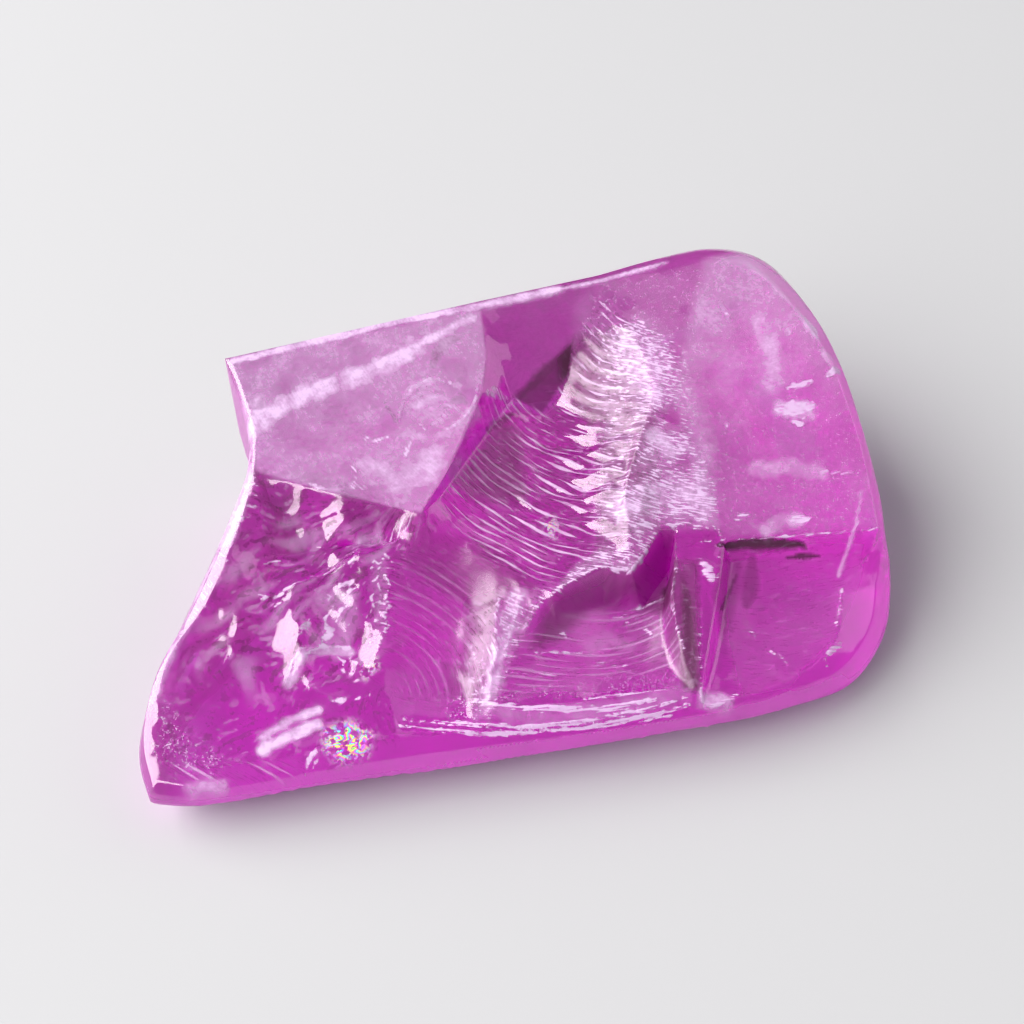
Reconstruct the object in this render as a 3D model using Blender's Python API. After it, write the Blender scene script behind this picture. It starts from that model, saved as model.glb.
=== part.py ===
# A rough zircon: one clear pink piece, sawn straight along its back, broken across its top and left
# end, and worn smooth on its right end, its front and its underside. It lies on a small flat below.
# X runs along the sawn edge and +Y points to the back. The places below are set about a point near the
# middle, and the finished stone is moved so that its box stands centred on the origin.

import bpy
import bmesh
import numpy as np
from math import cos, sin, pi
from mathutils import Vector
from mathutils.geometry import delaunay_2d_cdt

# Driving dimensions, in millimetres
MM = 0.001
BREAK_HEIGHT = 7.2        # the broken top's mean height over the origin
BREAK_RISE_BACK = 0.34    # its rise towards the sawn back, per millimetre
BREAK_RISE_RIGHT = 0.03   # its rise towards the round end, per millimetre
MESH_STEP = 0.66          # spacing of the points on the top
RIM_STEP = 0.8            # spacing of the points round the rim
REST_CENTRE = (-3.0, -0.8)
REST_SHARE = 0.58         # the resting flat's size beside the stone's outline
BELLY_RINGS = 7
SHOULDER_OUT = 0.62       # the worn shoulder's share of the way out from the rim to the skin
SHOULDER_DROP = 0.32      # and its share of the way down
FILL_CLEARANCE = 0.62     # how near the top's own points come to its lines, in spacings
RIB_LIFT = 0.13           # half the height of the ribs that the break left in the middle band

# The rim of the broken top, clockwise from the sawn edge's left end. Each station gives the rim's own
# corner, the widest point of the skin outside it, both as x, y and height over the mean break, then
# how square the side below is (1 is an ellipse, less is squarer), and whether the outline turns a
# corner there.
STATIONS = {
    "saw_left": ((-12.0, 9.9, 0.0), (-12.3, 10.4, -0.15), 0.45, True),
    "shelf_top": ((0.9, 10.4, 0.0), (0.9, 10.95, -0.15), 0.45, True),
    "saw_right": ((7.4, 10.6, 0.0), (7.4, 11.2, -0.2), 0.45, True),
    "saw_end": ((10.8, 10.9, 0.0), (11.0, 11.7, -0.4), 0.55, False),
    "crown": ((13.5, 10.8, 0.1), (14.1, 12.0, -0.8), 0.7, False),
    "crown_fall": ((15.7, 9.4, 0.1), (16.8, 11.0, -1.2), 0.75, False),
    "shoulder": ((17.1, 6.6, 0.1), (18.5, 7.6, -1.5), 0.8, False),
    "shoulder_fall": ((17.9, 3.6, 0.0), (18.9, 4.2, -1.5), 0.8, False),
    "side": ((17.9, -0.4, 0.0), (18.7, 0.3, -1.2), 0.8, False),
    "side_low": ((17.5, -3.5, 0.0), (18.3, -2.9, -1.0), 0.8, False),
    "step_end": ((17.3, -4.9, -0.1), (17.9, -4.6, -0.9), 0.8, True),
    "step_end_foot": ((16.8, -5.5, -0.9), (18.1, -5.3, -2.0), 0.8, True),
    "cheek": ((14.9, -7.1, -0.9), (17.8, -6.6, -2.6), 0.8, False),
    "cheek_low": ((13.9, -9.0, -0.8), (16.7, -8.6, -2.7), 0.8, False),
    "chin": ((12.0, -10.4, -0.6), (14.1, -10.6, -2.4), 0.85, False),
    "front_right": ((8.6, -11.0, -0.5), (10.2, -11.3, -1.6), 0.9, False),
    "column_base": ((6.4, -11.0, -0.5), (6.6, -11.4, -1.3), 0.9, True),
    "front": ((1.6, -10.6, -0.55), (1.7, -11.1, -1.35), 0.9, False),
    "ridge_base": ((-3.6, -10.0, -0.5), (-3.7, -10.7, -1.5), 0.9, True),
    "front_left": ((-7.6, -9.5, -0.5), (-7.9, -10.4, -1.5), 0.9, False),
    "front_far": ((-12.3, -9.2, -0.6), (-12.5, -10.1, -1.4), 0.85, False),
    "toe": ((-16.1, -8.9, -0.7), (-17.0, -9.8, -1.4), 0.8, False),
    "heel": ((-18.4, -8.1, -0.8), (-19.2, -9.1, -1.6), 0.7, True),
    "left_low": ((-18.3, -5.9, -0.7), (-19.4, -7.0, -1.6), 0.7, False),
    "left_mid": ((-17.3, -3.4, -0.6), (-18.4, -4.3, -1.6), 0.7, False),
    "left_high": ((-15.3, -1.5, -0.5), (-16.5, -1.4, -1.6), 0.7, False),
    "left_top": ((-13.8, 0.7, -0.4), (-14.7, 1.1, -1.4), 0.65, False),
    "notch_foot": ((-12.8, 2.3, -0.2), (-13.4, 3.0, -1.2), 0.6, False),
    "notch": ((-12.0, 4.0, 0.1), (-12.3, 4.6, -0.8), 0.55, True),
    "notch_side": ((-11.6, 5.8, 0.2), (-11.9, 6.1, -0.6), 0.5, False),
    "tip_side": ((-11.7, 7.9, 0.1), (-12.0, 8.3, -0.5), 0.5, False),
}

# The corners inside the rim, as x, y and height over the mean break
CORNERS = {
    # the pale shelf and the narrow bevel on its right
    "shelf_right": (0.6, 7.7, 0.1),
    "bevel_top": (-0.1, 5.9, 0.1),
    "shelf_side": (-2.4, 2.5, 0.25),
    "shelf_corner": (-4.5, 0.2, 0.3),
    "shelf_low": (-8.3, 2.0, 0.3),
    "bevel_mid": (-0.5, 4.3, -1.2),
    "bevel_foot": (-3.4, 1.3, -0.5),
    # the flat against the sawn edge, the pit at its point and the dark wedge
    "pit_side": (1.0, 6.6, -0.6),
    "pit": (1.6, 6.3, -1.5),
    "wedge_top": (5.3, 8.3, -0.7),
    "wedge_foot": (4.7, 7.0, -1.6),
    "wedge_low": (3.1, 5.5, -1.9),
    # the crest of the frosted ridge and the lip at its foot
    "frost_top": (8.1, 8.9, -0.1),
    "frost_high": (8.5, 4.3, 0.3),
    "frost_mid": (6.9, 1.6, 0.35),
    "frost_low": (5.5, -0.7, 0.35),
    "lip_top": (5.2, -2.4, 0.35),
    "lip_right": (6.8, -2.8, 0.2),
    "lip_point": (4.8, -4.5, 0.2),
    "lip_left": (3.5, -4.0, 0.1),
    "lip_end": (0.9, -4.6, -0.1),
    "wall_right": (7.15, -3.5, -2.0),
    "wall_point": (5.2, -5.2, -1.9),
    "wall_left": (3.4, -4.8, -1.6),
    "wall_end": (1.3, -5.2, -0.8),
    # the middle band's lower edge and the narrow ridge below it
    "band_left": (-2.8, 0.2, -0.7),
    "band_low": (-1.4, -2.3, -0.7),
    "ridge_left": (-2.4, -6.3, -0.4),
    "ridge_right": (-1.1, -7.2, -0.5),
    "ridge_foot": (-3.4, -9.3, -0.35),
    # the upright column between the bowl and the cheek
    "column_left": (7.5, -2.9, 0.1),
    "column_left_mid": (6.5, -5.9, 0.0),
    "column_left_low": (6.1, -8.7, -0.2),
    "column_right": (9.6, -3.6, 0.0),
    "column_right_mid": (8.7, -6.1, 0.0),
    "column_right_low": (6.9, -9.6, -0.2),
    "column_foot": (6.2, -10.3, -0.35),
    "bowl_side": (6.0, -6.1, -1.5),
    "bowl_side_low": (5.65, -8.7, -0.9),
    "cheek_side": (9.1, -6.2, -1.0),
    "cheek_side_low": (7.4, -9.5, -0.8),
    # the step between the right flat and the cheek
    "step_start": (9.7, -3.9, -0.1),
    "step_start_foot": (10.0, -4.4, -0.9),
    # the seam between the frosted ridge and the right flat
    "seam_high": (12.7, 9.0, 0.1),
    "seam_mid": (10.5, 5.9, 0.2),
    "seam_low": (9.3, 3.3, 0.3),
    "seam_bend": (9.7, 0.4, 0.2),
    "seam_foot": (9.8, -1.9, 0.05),
    # the ledge along the front
    "ledge_left": (-0.2, -9.6, -0.35),
    "ledge_right": (3.6, -9.9, -0.35),
    # the broken left end
    "groove_right": (-5.9, 0.0, -1.1),
    "groove_mid": (-9.0, 0.6, -1.4),
    "groove_left": (-12.0, 0.6, -1.1),
    "streak_right": (-6.0, -0.5, -0.5),
    "streak_mid": (-8.2, -0.9, -0.6),
    "streak_left": (-10.8, -1.4, -0.7),
    "streak_end": (-12.8, -1.7, -0.8),
    "comb_mid": (-7.1, -3.3, -0.7),
    "comb_low": (-7.8, -5.0, -0.9),
    "comb_foot": (-7.9, -7.6, -0.7),
    "fork": (-11.1, -3.6, -0.7),
    "fork_left": (-12.3, -5.4, -0.9),
    "fork_end": (-13.8, -7.4, -0.9),
    "fork_right": (-9.3, -4.6, -1.0),
}

# The ridges, steps and seams, each a smooth line through its corners
RIDGES = (
    ("shelf_top", "shelf_right", "bevel_top"),
    ("bevel_top", "shelf_side", "shelf_corner"),
    ("notch", "shelf_low", "shelf_corner"),
    ("shelf_right", "pit_side", "pit"),
    ("pit", "wedge_top"),
    ("wedge_top", "saw_right"),
    ("pit", "wedge_low", "wedge_foot", "wedge_top"),
    ("pit", "bevel_mid", "bevel_foot"),
    ("bevel_foot", "shelf_corner"),
    ("bevel_foot", "band_left", "band_low", "lip_end"),
    ("frost_top", "frost_high", "frost_mid", "frost_low", "lip_top"),
    ("saw_right", "frost_top"),
    ("lip_top", "lip_right"),
    ("lip_top", "lip_point"),
    ("lip_end", "lip_left"),
    ("lip_left", "lip_point"),
    ("lip_point", "lip_right"),
    ("lip_right", "column_left"),
    ("wall_end", "wall_left"),
    ("wall_left", "wall_point"),
    ("wall_point", "wall_right"),
    ("band_low", "ridge_left", "ridge_foot"),
    ("lip_end", "wall_end"),
    ("wall_end", "ridge_right", "ridge_foot"),
    ("ridge_foot", "ridge_base"),
    ("column_left", "column_left_mid", "column_left_low", "column_foot"),
    ("column_left", "column_right"),
    ("column_right", "step_start"),
    ("step_start", "column_right_mid", "column_right_low", "column_base"),
    ("column_foot", "column_base"),
    ("wall_right", "bowl_side", "bowl_side_low", "column_foot"),
    ("step_start_foot", "cheek_side", "cheek_side_low", "column_base"),
    ("step_start", "step_end"),
    ("step_start_foot", "step_end_foot"),
    ("step_start", "step_start_foot"),
    ("crown", "seam_high", "seam_mid", "seam_low", "seam_bend", "seam_foot", "column_right"),
    ("ridge_foot", "ledge_left", "ledge_right", "column_foot"),
    ("shelf_corner", "groove_right"),
    ("groove_right", "groove_mid", "groove_left", "left_top"),
    ("groove_right", "streak_right"),
    ("streak_right", "streak_mid", "streak_left", "streak_end", "left_high"),
    ("streak_right", "comb_mid", "comb_low"),
    ("comb_low", "comb_foot", "front_left"),
    ("streak_left", "fork"),
    ("fork", "fork_left", "fork_end"),
    ("fork", "fork_right", "comb_low"),
)

# How hollow each broken face is: a point on it, and how strongly it sags, per millimetre
HOLLOWS = (
    ((2.8, -7.0), 0.50),      # the bowl
    ((12.6, -6.7), 0.28),     # the cheek
    ((-4.8, -5.1), 0.30),     # the face left of the narrow ridge
    ((4.0, 3.0), 0.20),       # the middle band
    ((-14.5, -5.0), 0.12),    # the left end's lower face
)

# The middle band's ribs run between these two lines, and bow towards the front
RIBS = 6
RIB_STARTS = ((2.6, 4.7), (-1.2, -0.9))
RIB_ENDS = ((7.5, 3.8), (4.2, -3.2))
RIB_BOW = 0.5
RIB_STEPS = 8


def break_height(x, y):
    """The mean height of the broken top at a place."""
    return BREAK_HEIGHT + BREAK_RISE_BACK * y + BREAK_RISE_RIGHT * x


def smooth_line(points, steps):
    """Points along a Catmull-Rom line through the given points, the last one left out."""
    padded = [2 * points[0] - points[1]] + list(points) + [2 * points[-1] - points[-2]]
    line = []
    for i, count in enumerate(steps):
        before, start, end, after = padded[i:i + 4]
        for k in range(count):
            t = k / count
            bend = (2 * before - 5 * start + 4 * end - after) * t * t
            twist = (3 * start - before - 3 * end + after) * t ** 3
            line.append(0.5 * (2 * start + (end - before) * t + bend + twist))
    return line


def side_samples():
    """The rim, the skin outside it and the squareness, sampled evenly all the way round."""
    names = list(STATIONS)
    count = len(names)
    rows = [np.array([*STATIONS[n][0], *STATIONS[n][1], STATIONS[n][2]]) for n in names]
    corners = [i for i in range(count) if STATIONS[names[i]][3]]
    samples = []
    first_sample = {}
    for start, end in zip(corners, corners[1:] + [corners[0] + count]):
        run = [rows[i % count] for i in range(start, end + 1)]
        steps = [max(1, round(float(np.hypot(*(b[3:5] - a[3:5]))) / RIM_STEP)) for a, b in zip(run, run[1:])]
        place = len(samples)
        for i, step in zip(range(start, end), steps):
            first_sample[names[i % count]] = place
            place += step
        samples.extend(smooth_line(run, steps))
    return np.array(samples), first_sample


def corner_point(name):
    """A named corner, whether it is on the rim or inside it."""
    return np.array(STATIONS[name][0] if name in STATIONS else CORNERS[name])


def top_layout(rim, first_sample):
    """The plan of the broken top: its points, the known heights, the lines and the ribs."""
    points = [tuple(p[:2]) for p in rim]
    heights = {i: p[2] for i, p in enumerate(rim)}
    lines = [(i, (i + 1) % len(rim)) for i in range(len(rim))]
    place = dict(first_sample)

    def add(point, height=None):
        points.append((float(point[0]), float(point[1])))
        if height is not None:
            heights[len(points) - 1] = float(height)
        return len(points) - 1

    for names in RIDGES:
        for name in names:
            if name not in place:
                corner = CORNERS[name]
                place[name] = add(corner, corner[2])
        corners = [corner_point(name) for name in names]
        steps = [max(1, round(float(np.hypot(*(b - a)[:2])) / MESH_STEP)) for a, b in zip(corners, corners[1:])]
        line = smooth_line(corners, steps)
        at = 0
        for name, next_name, step in zip(names, names[1:], steps):
            chain = [place[name]] + [add(p, p[2]) for p in line[at + 1:at + step]] + [place[next_name]]
            lines.extend(zip(chain, chain[1:]))
            at += step

    ribs = {}
    for k in range(2 * RIBS - 1):
        share = (k + 0.5) / (2 * RIBS - 1)
        start = np.array(RIB_STARTS[0]) * (1 - share) + np.array(RIB_STARTS[1]) * share
        end = np.array(RIB_ENDS[0]) * (1 - share) + np.array(RIB_ENDS[1]) * share
        across = np.array([end[1] - start[1], start[0] - end[0]]) / np.hypot(*(end - start))
        middle = (start + end) / 2 + across * RIB_BOW
        line = smooth_line([start, middle, end], [RIB_STEPS // 2] * 2) + [end]
        chain = [add(p) for p in line]
        lines.extend(zip(chain, chain[1:]))
        ribs.update({i: RIB_LIFT if k % 2 == 0 else -RIB_LIFT for i in chain[1:-1]})
    return points, heights, lines, ribs


def fill_points(points, rim_count):
    """Evenly spaced points inside the rim, clear of the points that are there already."""
    rim = np.array(points[:rim_count])
    taken = np.array(points)
    ahead = np.roll(rim, -1, axis=0)
    fill = []
    row = 0
    y = rim[:, 1].min()
    while y < rim[:, 1].max():
        x = rim[:, 0].min() + (row % 2) * MESH_STEP / 2
        while x < rim[:, 0].max():
            spans = (rim[:, 1] > y) != (ahead[:, 1] > y)
            rise = np.where(spans, ahead[:, 1] - rim[:, 1], 1.0)
            cross_x = rim[:, 0] + (y - rim[:, 1]) * (ahead[:, 0] - rim[:, 0]) / rise
            inside = np.count_nonzero(spans & (cross_x > x)) % 2 == 1
            clear = np.hypot(taken[:, 0] - x, taken[:, 1] - y).min() > FILL_CLEARANCE * MESH_STEP
            if inside and clear:
                fill.append((float(x), float(y)))
            x += MESH_STEP
        y += MESH_STEP * sin(pi / 3)
        row += 1
    return fill


def faces_joined(faces, lines, seed, points):
    """The points of the face that holds the seed, reached without crossing a line."""
    barrier = {frozenset(line) for line in lines}
    beside = {}
    for f, face in enumerate(faces):
        for a, b in zip(face, face[1:] + face[:1]):
            beside.setdefault(frozenset((a, b)), []).append(f)
    centres = np.array([np.mean([points[v] for v in face], axis=0) for face in faces])
    start = int(np.hypot(centres[:, 0] - seed[0], centres[:, 1] - seed[1]).argmin())
    reached = {start}
    front = [start]
    while front:
        face = faces[front.pop()]
        for a, b in zip(face, face[1:] + face[:1]):
            edge = frozenset((a, b))
            for other in () if edge in barrier else beside[edge]:
                if other not in reached:
                    reached.add(other)
                    front.append(other)
    return {v for f in reached for v in faces[f]}


def stretched_heights(faces, count, heights, sag):
    """Heights of a skin stretched over the known heights, pulled down by the sag at each point."""
    pull = np.zeros((count, count))
    for face in faces:
        for a, b in zip(face, face[1:] + face[:1]):
            pull[a, b] = pull[b, a] = -1.0
    np.fill_diagonal(pull, -pull.sum(axis=1))
    known = np.array(sorted(heights))
    free = np.array([i for i in range(count) if i not in heights])
    result = np.zeros(count)
    result[known] = [heights[i] for i in known]
    load = -sag[free] - pull[np.ix_(free, known)] @ result[known]
    result[free] = np.linalg.solve(pull[np.ix_(free, free)], load)
    return result


def broken_top(rim, first_sample):
    """The points and faces of the broken top, in millimetres."""
    points, heights, lines, ribs = top_layout(rim, first_sample)
    points += fill_points(points, len(rim))
    flat = [Vector(p) for p in points]
    made, made_lines, faces, origins, line_origins, _ = delaunay_2d_cdt(flat, lines, [], 1, 1e-5)
    rename = {}
    for new, old in enumerate(origins):
        for i in old:
            rename[i] = new
    faces = [list(face) for face in faces]
    count = len(made)
    places = [tuple(p) for p in made]
    known = {rename[i]: h for i, h in heights.items()}
    barrier = [line for line, old in zip(made_lines, line_origins) if old]
    sag = np.zeros(count)
    for seed, strength in HOLLOWS:
        for v in faces_joined(faces, barrier, seed, places):
            sag[v] = strength * MESH_STEP ** 2
    relief = stretched_heights(faces, count, known, sag)
    known.update({rename[i]: relief[rename[i]] + lift for i, lift in ribs.items() if rename[i] not in known})
    relief = stretched_heights(faces, count, known, sag)
    top = [(x, y, break_height(x, y) + h) for (x, y), h in zip(places, relief)]
    return top, faces, [rename[i] for i in range(len(rim))]


def belly_rings(samples):
    """The rings of points from the shoulder under the rim down to the resting flat."""
    rings = []
    rim = [np.array([x, y, break_height(x, y) + h]) for x, y, h in samples[:, :3]]
    skin = [np.array([x, y, break_height(x, y) + h]) for x, y, h in samples[:, 3:6]]
    squareness = samples[:, 6]
    part_way = np.array([SHOULDER_OUT, SHOULDER_OUT, SHOULDER_DROP])
    rings.append([a + (b - a) * part_way for a, b in zip(rim, skin)])
    for k in range(BELLY_RINGS + 1):
        angle = pi / 2 * k / BELLY_RINGS
        ring = []
        for point, square in zip(skin, squareness):
            foot = np.array([REST_CENTRE[0], REST_CENTRE[1], 0.0])
            foot[:2] += REST_SHARE * (point[:2] - foot[:2])
            out = max(cos(angle), 0.0) ** square
            down = sin(angle) ** square
            place = foot + (point - foot) * out
            place[2] = point[2] * (1 - down)
            ring.append(place)
        rings.append(ring)
    return rings


def pink_crystal():
    """Clear, deep pink crystal."""
    material = bpy.data.materials.new("pink_zircon")
    material.use_nodes = True
    shader = material.node_tree.nodes["Principled BSDF"]
    shader.inputs["Base Color"].default_value = (0.75, 0.07, 0.42, 1.0)
    shader.inputs["Roughness"].default_value = 0.06
    shader.inputs["Metallic"].default_value = 0.0
    shader.inputs["IOR"].default_value = 1.93
    shader.inputs["Transmission Weight"].default_value = 0.9
    return material


def zircon():
    """The whole stone: the broken top, the skin round it and the resting flat, centred on the origin."""
    samples, first_sample = side_samples()
    top, faces, rim = broken_top(samples[:, :3], first_sample)
    belly = belly_rings(samples)
    outline = np.array(belly[1])
    middle = (outline.min(axis=0) + outline.max(axis=0)) / 2
    shift = Vector((-middle[0], -middle[1], 0.0))
    shape = bmesh.new()
    top_verts = [shape.verts.new((Vector(p) + shift) * MM) for p in top]
    for face in faces:
        shape.faces.new([top_verts[i] for i in face])
    upper = [top_verts[i] for i in rim]
    for ring in belly:
        lower = [shape.verts.new((Vector(p) + shift) * MM) for p in ring]
        for i in range(len(upper)):
            after = (i + 1) % len(upper)
            shape.faces.new((upper[i], upper[after], lower[after], lower[i]))
        upper = lower
    shape.faces.new(upper)
    bmesh.ops.recalc_face_normals(shape, faces=shape.faces)
    bmesh.ops.triangulate(shape, faces=shape.faces)
    mesh = bpy.data.meshes.new("zircon")
    shape.to_mesh(mesh)
    shape.free()
    mesh.materials.append(pink_crystal())
    stone = bpy.data.objects.new("zircon", mesh)
    bpy.context.scene.collection.objects.link(stone)
    return stone


for old in list(bpy.data.objects):
    bpy.data.objects.remove(old, do_unlink=True)
zircon()
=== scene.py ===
# Rough zircon: the looks of one loose piece of clear, deep pink crystal, lying on its worn side.
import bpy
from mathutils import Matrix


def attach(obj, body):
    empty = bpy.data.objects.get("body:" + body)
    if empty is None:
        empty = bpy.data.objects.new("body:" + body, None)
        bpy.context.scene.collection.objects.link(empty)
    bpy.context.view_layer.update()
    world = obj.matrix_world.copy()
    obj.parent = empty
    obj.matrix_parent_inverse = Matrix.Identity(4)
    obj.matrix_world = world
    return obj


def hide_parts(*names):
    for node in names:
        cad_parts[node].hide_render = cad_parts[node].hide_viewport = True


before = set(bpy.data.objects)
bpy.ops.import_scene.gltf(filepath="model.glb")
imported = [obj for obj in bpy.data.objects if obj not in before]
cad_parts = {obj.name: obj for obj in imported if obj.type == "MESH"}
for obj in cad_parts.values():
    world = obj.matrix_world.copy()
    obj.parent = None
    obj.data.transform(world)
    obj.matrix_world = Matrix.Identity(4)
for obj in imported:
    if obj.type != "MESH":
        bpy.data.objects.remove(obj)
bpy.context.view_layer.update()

from math import cos, pi, radians, sin

import bmesh
import bpy
import numpy as np
from mathutils import Matrix, Vector, noise
from mathutils.bvhtree import BVHTree

# The table, the light and the camera. The stone lies on a plain pale sheet. A narrow soft light hangs
# above and behind it, and two broad soft lights stand left and right, with a dim room all round. The
# camera looks down at the stone from the front, a little from the left.
mm = 0.001
picture_side = 1024
focal_pixels = 1542.0
camera_azimuth = radians(-14.0)
camera_elevation = radians(48.0)
camera_distance = 76.0 * mm
sensor_width = 36.0
looked_at = Vector((0.26, -0.31, 6.0)) * mm
looked_at_pixel = (512.0, 520.0)

back = Vector((
    sin(camera_azimuth) * cos(camera_elevation),
    -cos(camera_azimuth) * cos(camera_elevation),
    sin(camera_elevation),
))
right = Vector((cos(camera_azimuth), sin(camera_azimuth), 0.0))
up = back.cross(right)
pixel_size = camera_distance / focal_pixels
aside = (looked_at_pixel[0] - picture_side / 2) * pixel_size
below = (looked_at_pixel[1] - picture_side / 2) * pixel_size
camera = bpy.data.objects.new("camera", bpy.data.cameras.new("camera"))
bpy.context.scene.collection.objects.link(camera)
camera.matrix_world = (
    Matrix.Translation(looked_at + back * camera_distance - right * aside + up * below)
    @ Matrix((right, up, back)).transposed().to_4x4()
)
camera.data.sensor_width = sensor_width
camera.data.lens = sensor_width * focal_pixels / picture_side
camera.data.clip_start = 1.0 * mm
bpy.context.scene.camera = camera


def soft_light(name, place, width, depth, heading, brightness):
    """A soft light at a place in metres, aimed at the stone, its width lying along a heading in plan."""
    lamp = bpy.data.lights.new(name, "AREA")
    lamp.shape = "RECTANGLE"
    lamp.size = width
    lamp.size_y = depth
    lamp.energy = brightness * width * depth * pi
    lamp.color = (1.0, 0.985, 0.97)
    outward = Vector(place).normalized()
    across = outward.cross(Vector((cos(heading), sin(heading), 0.0))).normalized()
    light = bpy.data.objects.new(name, lamp)
    light.matrix_world = (
        Matrix.Translation(place) @ Matrix((across.cross(outward), across, outward)).transposed().to_4x4()
    )
    bpy.context.scene.collection.objects.link(light)


# two lamps, one a little larger than the other, give the back light a soft border
for share in (0.75, 1.0):
    soft_light("back_light", (0.063, 0.092, 0.41), 0.23 * share, 0.066 * share, radians(-23.0), 0.45)
soft_light("left_light", (-0.46, 0.06, 0.30), 0.95, 0.70, radians(90.0), 6.4)
soft_light("right_light", (0.46, 0.14, 0.30), 0.80, 0.50, radians(105.0), 0.9)

room_colour = (0.93, 0.95, 1.0, 1.0)
room_brightness = 0.32
room = bpy.data.worlds.new("room")
room.use_nodes = True
room.node_tree.nodes["Background"].inputs["Color"].default_value = room_colour
room.node_tree.nodes["Background"].inputs["Strength"].default_value = room_brightness
bpy.context.scene.world = room
bpy.context.scene.view_settings.view_transform = "Standard"

paper_grey = (0.42, 0.42, 0.43, 1.0)
sheet_top = -0.02 * mm
sheet_reach = 0.9
sheet_mesh = bpy.data.meshes.new("sheet")
sheet_corners = [(-sheet_reach, -sheet_reach), (sheet_reach, -sheet_reach),
                 (sheet_reach, sheet_reach), (-sheet_reach, sheet_reach)]
sheet_mesh.from_pydata([(x, y, sheet_top) for x, y in sheet_corners], [], [(0, 1, 2, 3)])
floor = bpy.data.objects.new("floor", sheet_mesh)
bpy.context.scene.collection.objects.link(floor)
paper = bpy.data.materials.new("pale_paper")
paper.use_nodes = True
paper.node_tree.nodes["Principled BSDF"].inputs["Base Color"].default_value = paper_grey
paper.node_tree.nodes["Principled BSDF"].inputs["Roughness"].default_value = 0.85
sheet_mesh.materials.append(paper)

# The stone. One clear crystal, broken across its top into flat, hollow and ribbed faces. The packed
# solid gives every face its place. Here it is split finer, its faces are eased between their sharp
# ridges, and the fine relief that breaking left is raised on them.


def distance_to(path, x, y, closed=False):
    """The distance from each place to a path in plan, and how far along the path the nearest point is."""
    nearest = np.full(x.shape, 1e9)
    share_along = np.zeros(x.shape)
    ends = list(zip(path, np.roll(path, -1, axis=0))) if closed else list(zip(path[:-1], path[1:]))
    for number, ((ax, ay), (bx, by)) in enumerate(ends):
        length = (bx - ax) ** 2 + (by - ay) ** 2
        share = np.clip(((x - ax) * (bx - ax) + (y - ay) * (by - ay)) / length, 0.0, 1.0)
        distance = np.hypot(x - ax - share * (bx - ax), y - ay - share * (by - ay))
        share_along = np.where(distance < nearest, (number + share) / len(ends), share_along)
        nearest = np.minimum(nearest, distance)
    return nearest, share_along


def depth_inside(outline, x, y):
    """How far inside an outline each place is, in millimetres, negative outside."""
    crossings = np.zeros(x.shape, int)
    for (ax, ay), (bx, by) in zip(outline, np.roll(outline, -1, axis=0)):
        if ay != by:
            crossings += ((ay > y) != (by > y)) & (x < ax + (y - ay) * (bx - ax) / (by - ay))
    distance, _ = distance_to(outline, x, y, closed=True)
    return np.where(crossings % 2 == 1, distance, -distance)


def ease(value, low, high):
    """0 below low, 1 above high and a smooth step between."""
    t = np.clip((value - low) / (high - low), 0.0, 1.0)
    return t * t * (3.0 - 2.0 * t)


def cloud(x, y, z, size, seed):
    """Smooth noise of a given size in millimetres, about -1 to 1 at each place."""
    shift = Vector((seed * 17.3, seed * 5.1, seed * 9.7))
    return np.array([noise.noise(Vector(p) / size + shift) for p in zip(x, y, z)])


packed = bmesh.new()
packed.from_mesh(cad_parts["zircon"].data)
packed_faces = BVHTree.FromBMesh(packed)
packed.free()
# the broken top's mean slope, over a point a little off the middle of the stone's box
break_height = 7.2
break_rise_back = 0.34
break_rise_right = 0.03
break_middle = np.array((0.26, -0.31))


def on_stone(column, row):
    """Where the camera sees a picture point on the stone, in plan, or on the break's slope beside it."""
    ray = right * (column - picture_side / 2) - up * (row - picture_side / 2) - back * focal_pixels
    hit, _, _, _ = packed_faces.ray_cast(camera.matrix_world.translation, ray.normalized())
    if hit is None:
        slope = Vector((-break_rise_right, -break_rise_back, 1.0))
        middle = Vector((*break_middle, break_height)) * mm
        start_point = camera.matrix_world.translation
        hit = start_point + ray * (slope.dot(middle - start_point) / slope.dot(ray))
    return hit.x / mm, hit.y / mm


def outline_of(*seen):
    """A zone's outline in plan, from the picture points of its corners."""
    return np.array([on_stone(*point) for point in seen])


def scallops(x, y, size, curve, tilt, seed):
    """The height of hollow dishes side by side with sharp ridges between, as clear crystal breaks."""
    chance = np.random.default_rng(seed)
    height = np.full(x.shape, 1e9)
    for column in np.arange(x.min() - size, x.max() + size, size):
        for row in np.arange(y.min() - size, y.max() + size, size):
            across = x - column - chance.uniform(-0.45, 0.45) * size
            along = y - row - chance.uniform(-0.45, 0.45) * size
            dish = curve * (across ** 2 + along ** 2) + chance.uniform(0.0, 0.3) * curve * size ** 2
            dish += chance.normal(0.0, tilt) * across + chance.normal(0.0, tilt) * along
            height = np.minimum(height, dish)
    return height - height.mean()


# the rim of the broken top, in plan
rim = break_middle + np.array((
    (-12.0, 9.9), (0.9, 10.4), (7.4, 10.6), (10.8, 10.9), (13.5, 10.8), (15.7, 9.4), (17.1, 6.6),
    (17.9, 3.6), (17.9, -0.4), (17.5, -3.5), (17.3, -4.9), (16.8, -5.5), (14.9, -7.1), (13.9, -9.0),
    (12.0, -10.4),
    (8.6, -11.0), (6.4, -11.0), (1.6, -10.6), (-3.6, -10.0), (-7.6, -9.5), (-12.3, -9.2), (-16.1, -8.9),
    (-18.4, -8.1), (-18.3, -5.9), (-17.3, -3.4), (-15.3, -1.5), (-13.8, 0.7), (-12.8, 2.3), (-12.0, 4.0),
    (-11.6, 5.8), (-11.7, 7.9),
))

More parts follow.
